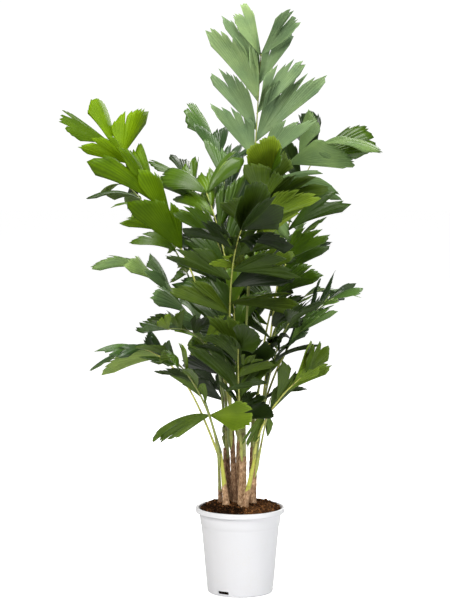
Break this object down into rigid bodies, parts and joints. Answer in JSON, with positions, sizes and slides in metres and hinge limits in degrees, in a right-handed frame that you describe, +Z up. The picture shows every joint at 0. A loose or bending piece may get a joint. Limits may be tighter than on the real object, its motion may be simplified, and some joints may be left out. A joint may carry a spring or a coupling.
{
  "type": "potted clustering fishtail palm",
  "caption": "Clump-forming fishtail palm in a round white nursery pot: fibrous brown canes carry arching fronds of wedge-shaped, ragged-ended leaflets.",
  "frame": {"origin": "centre of the pot's flat underside", "axes": "+Z up along the pot's axis; +X to the right and +Y away, seen from the front"},
  "size_m": [0.9558, 0.9771, 1.7634],
  "materials": {
    "pot": "smooth white moulded nursery pot, satin",
    "soil": "dark crumbly potting soil with coir",
    "cane": "brown fibrous leaf bases, green sheath above",
    "frond": "leathery green leaflets, pleated, paler beneath"
  },
  "bodies": {
    "root": {"pot": "pot", "soil": "soil", "cane_main": "cane", "cane_front_right": "cane", "cane_front_left": "cane", "cane_mid_left": "cane", "cane_left": "cane", "cane_right": "cane", "cane_right_back": "cane", "cane_back": "cane", "cane_back_left": "cane", "cane_broken": "cane", "frond_top": "frond", "frond_bright": "frond", "frond_grey": "frond", "frond_low_left": "frond", "frond_low_left_front": "frond", "frond_right_low": "frond", "frond_right_mid": "frond", "frond_right_high": "frond", "frond_right_arc": "frond", "frond_second": "frond", "frond_dark_left": "frond", "frond_mid_left": "frond", "frond_front": "frond", "frond_front_right": "frond", "frond_front_high": "frond", "frond_front_left": "frond", "frond_low_leaf": "frond", "frond_low_right": "frond", "frond_back": "frond", "frond_back_left": "frond", "frond_back_right": "frond", "frond_back_high": "frond", "frond_back_low": "frond", "frond_left_high": "frond"}
  },
  "joints": []
}
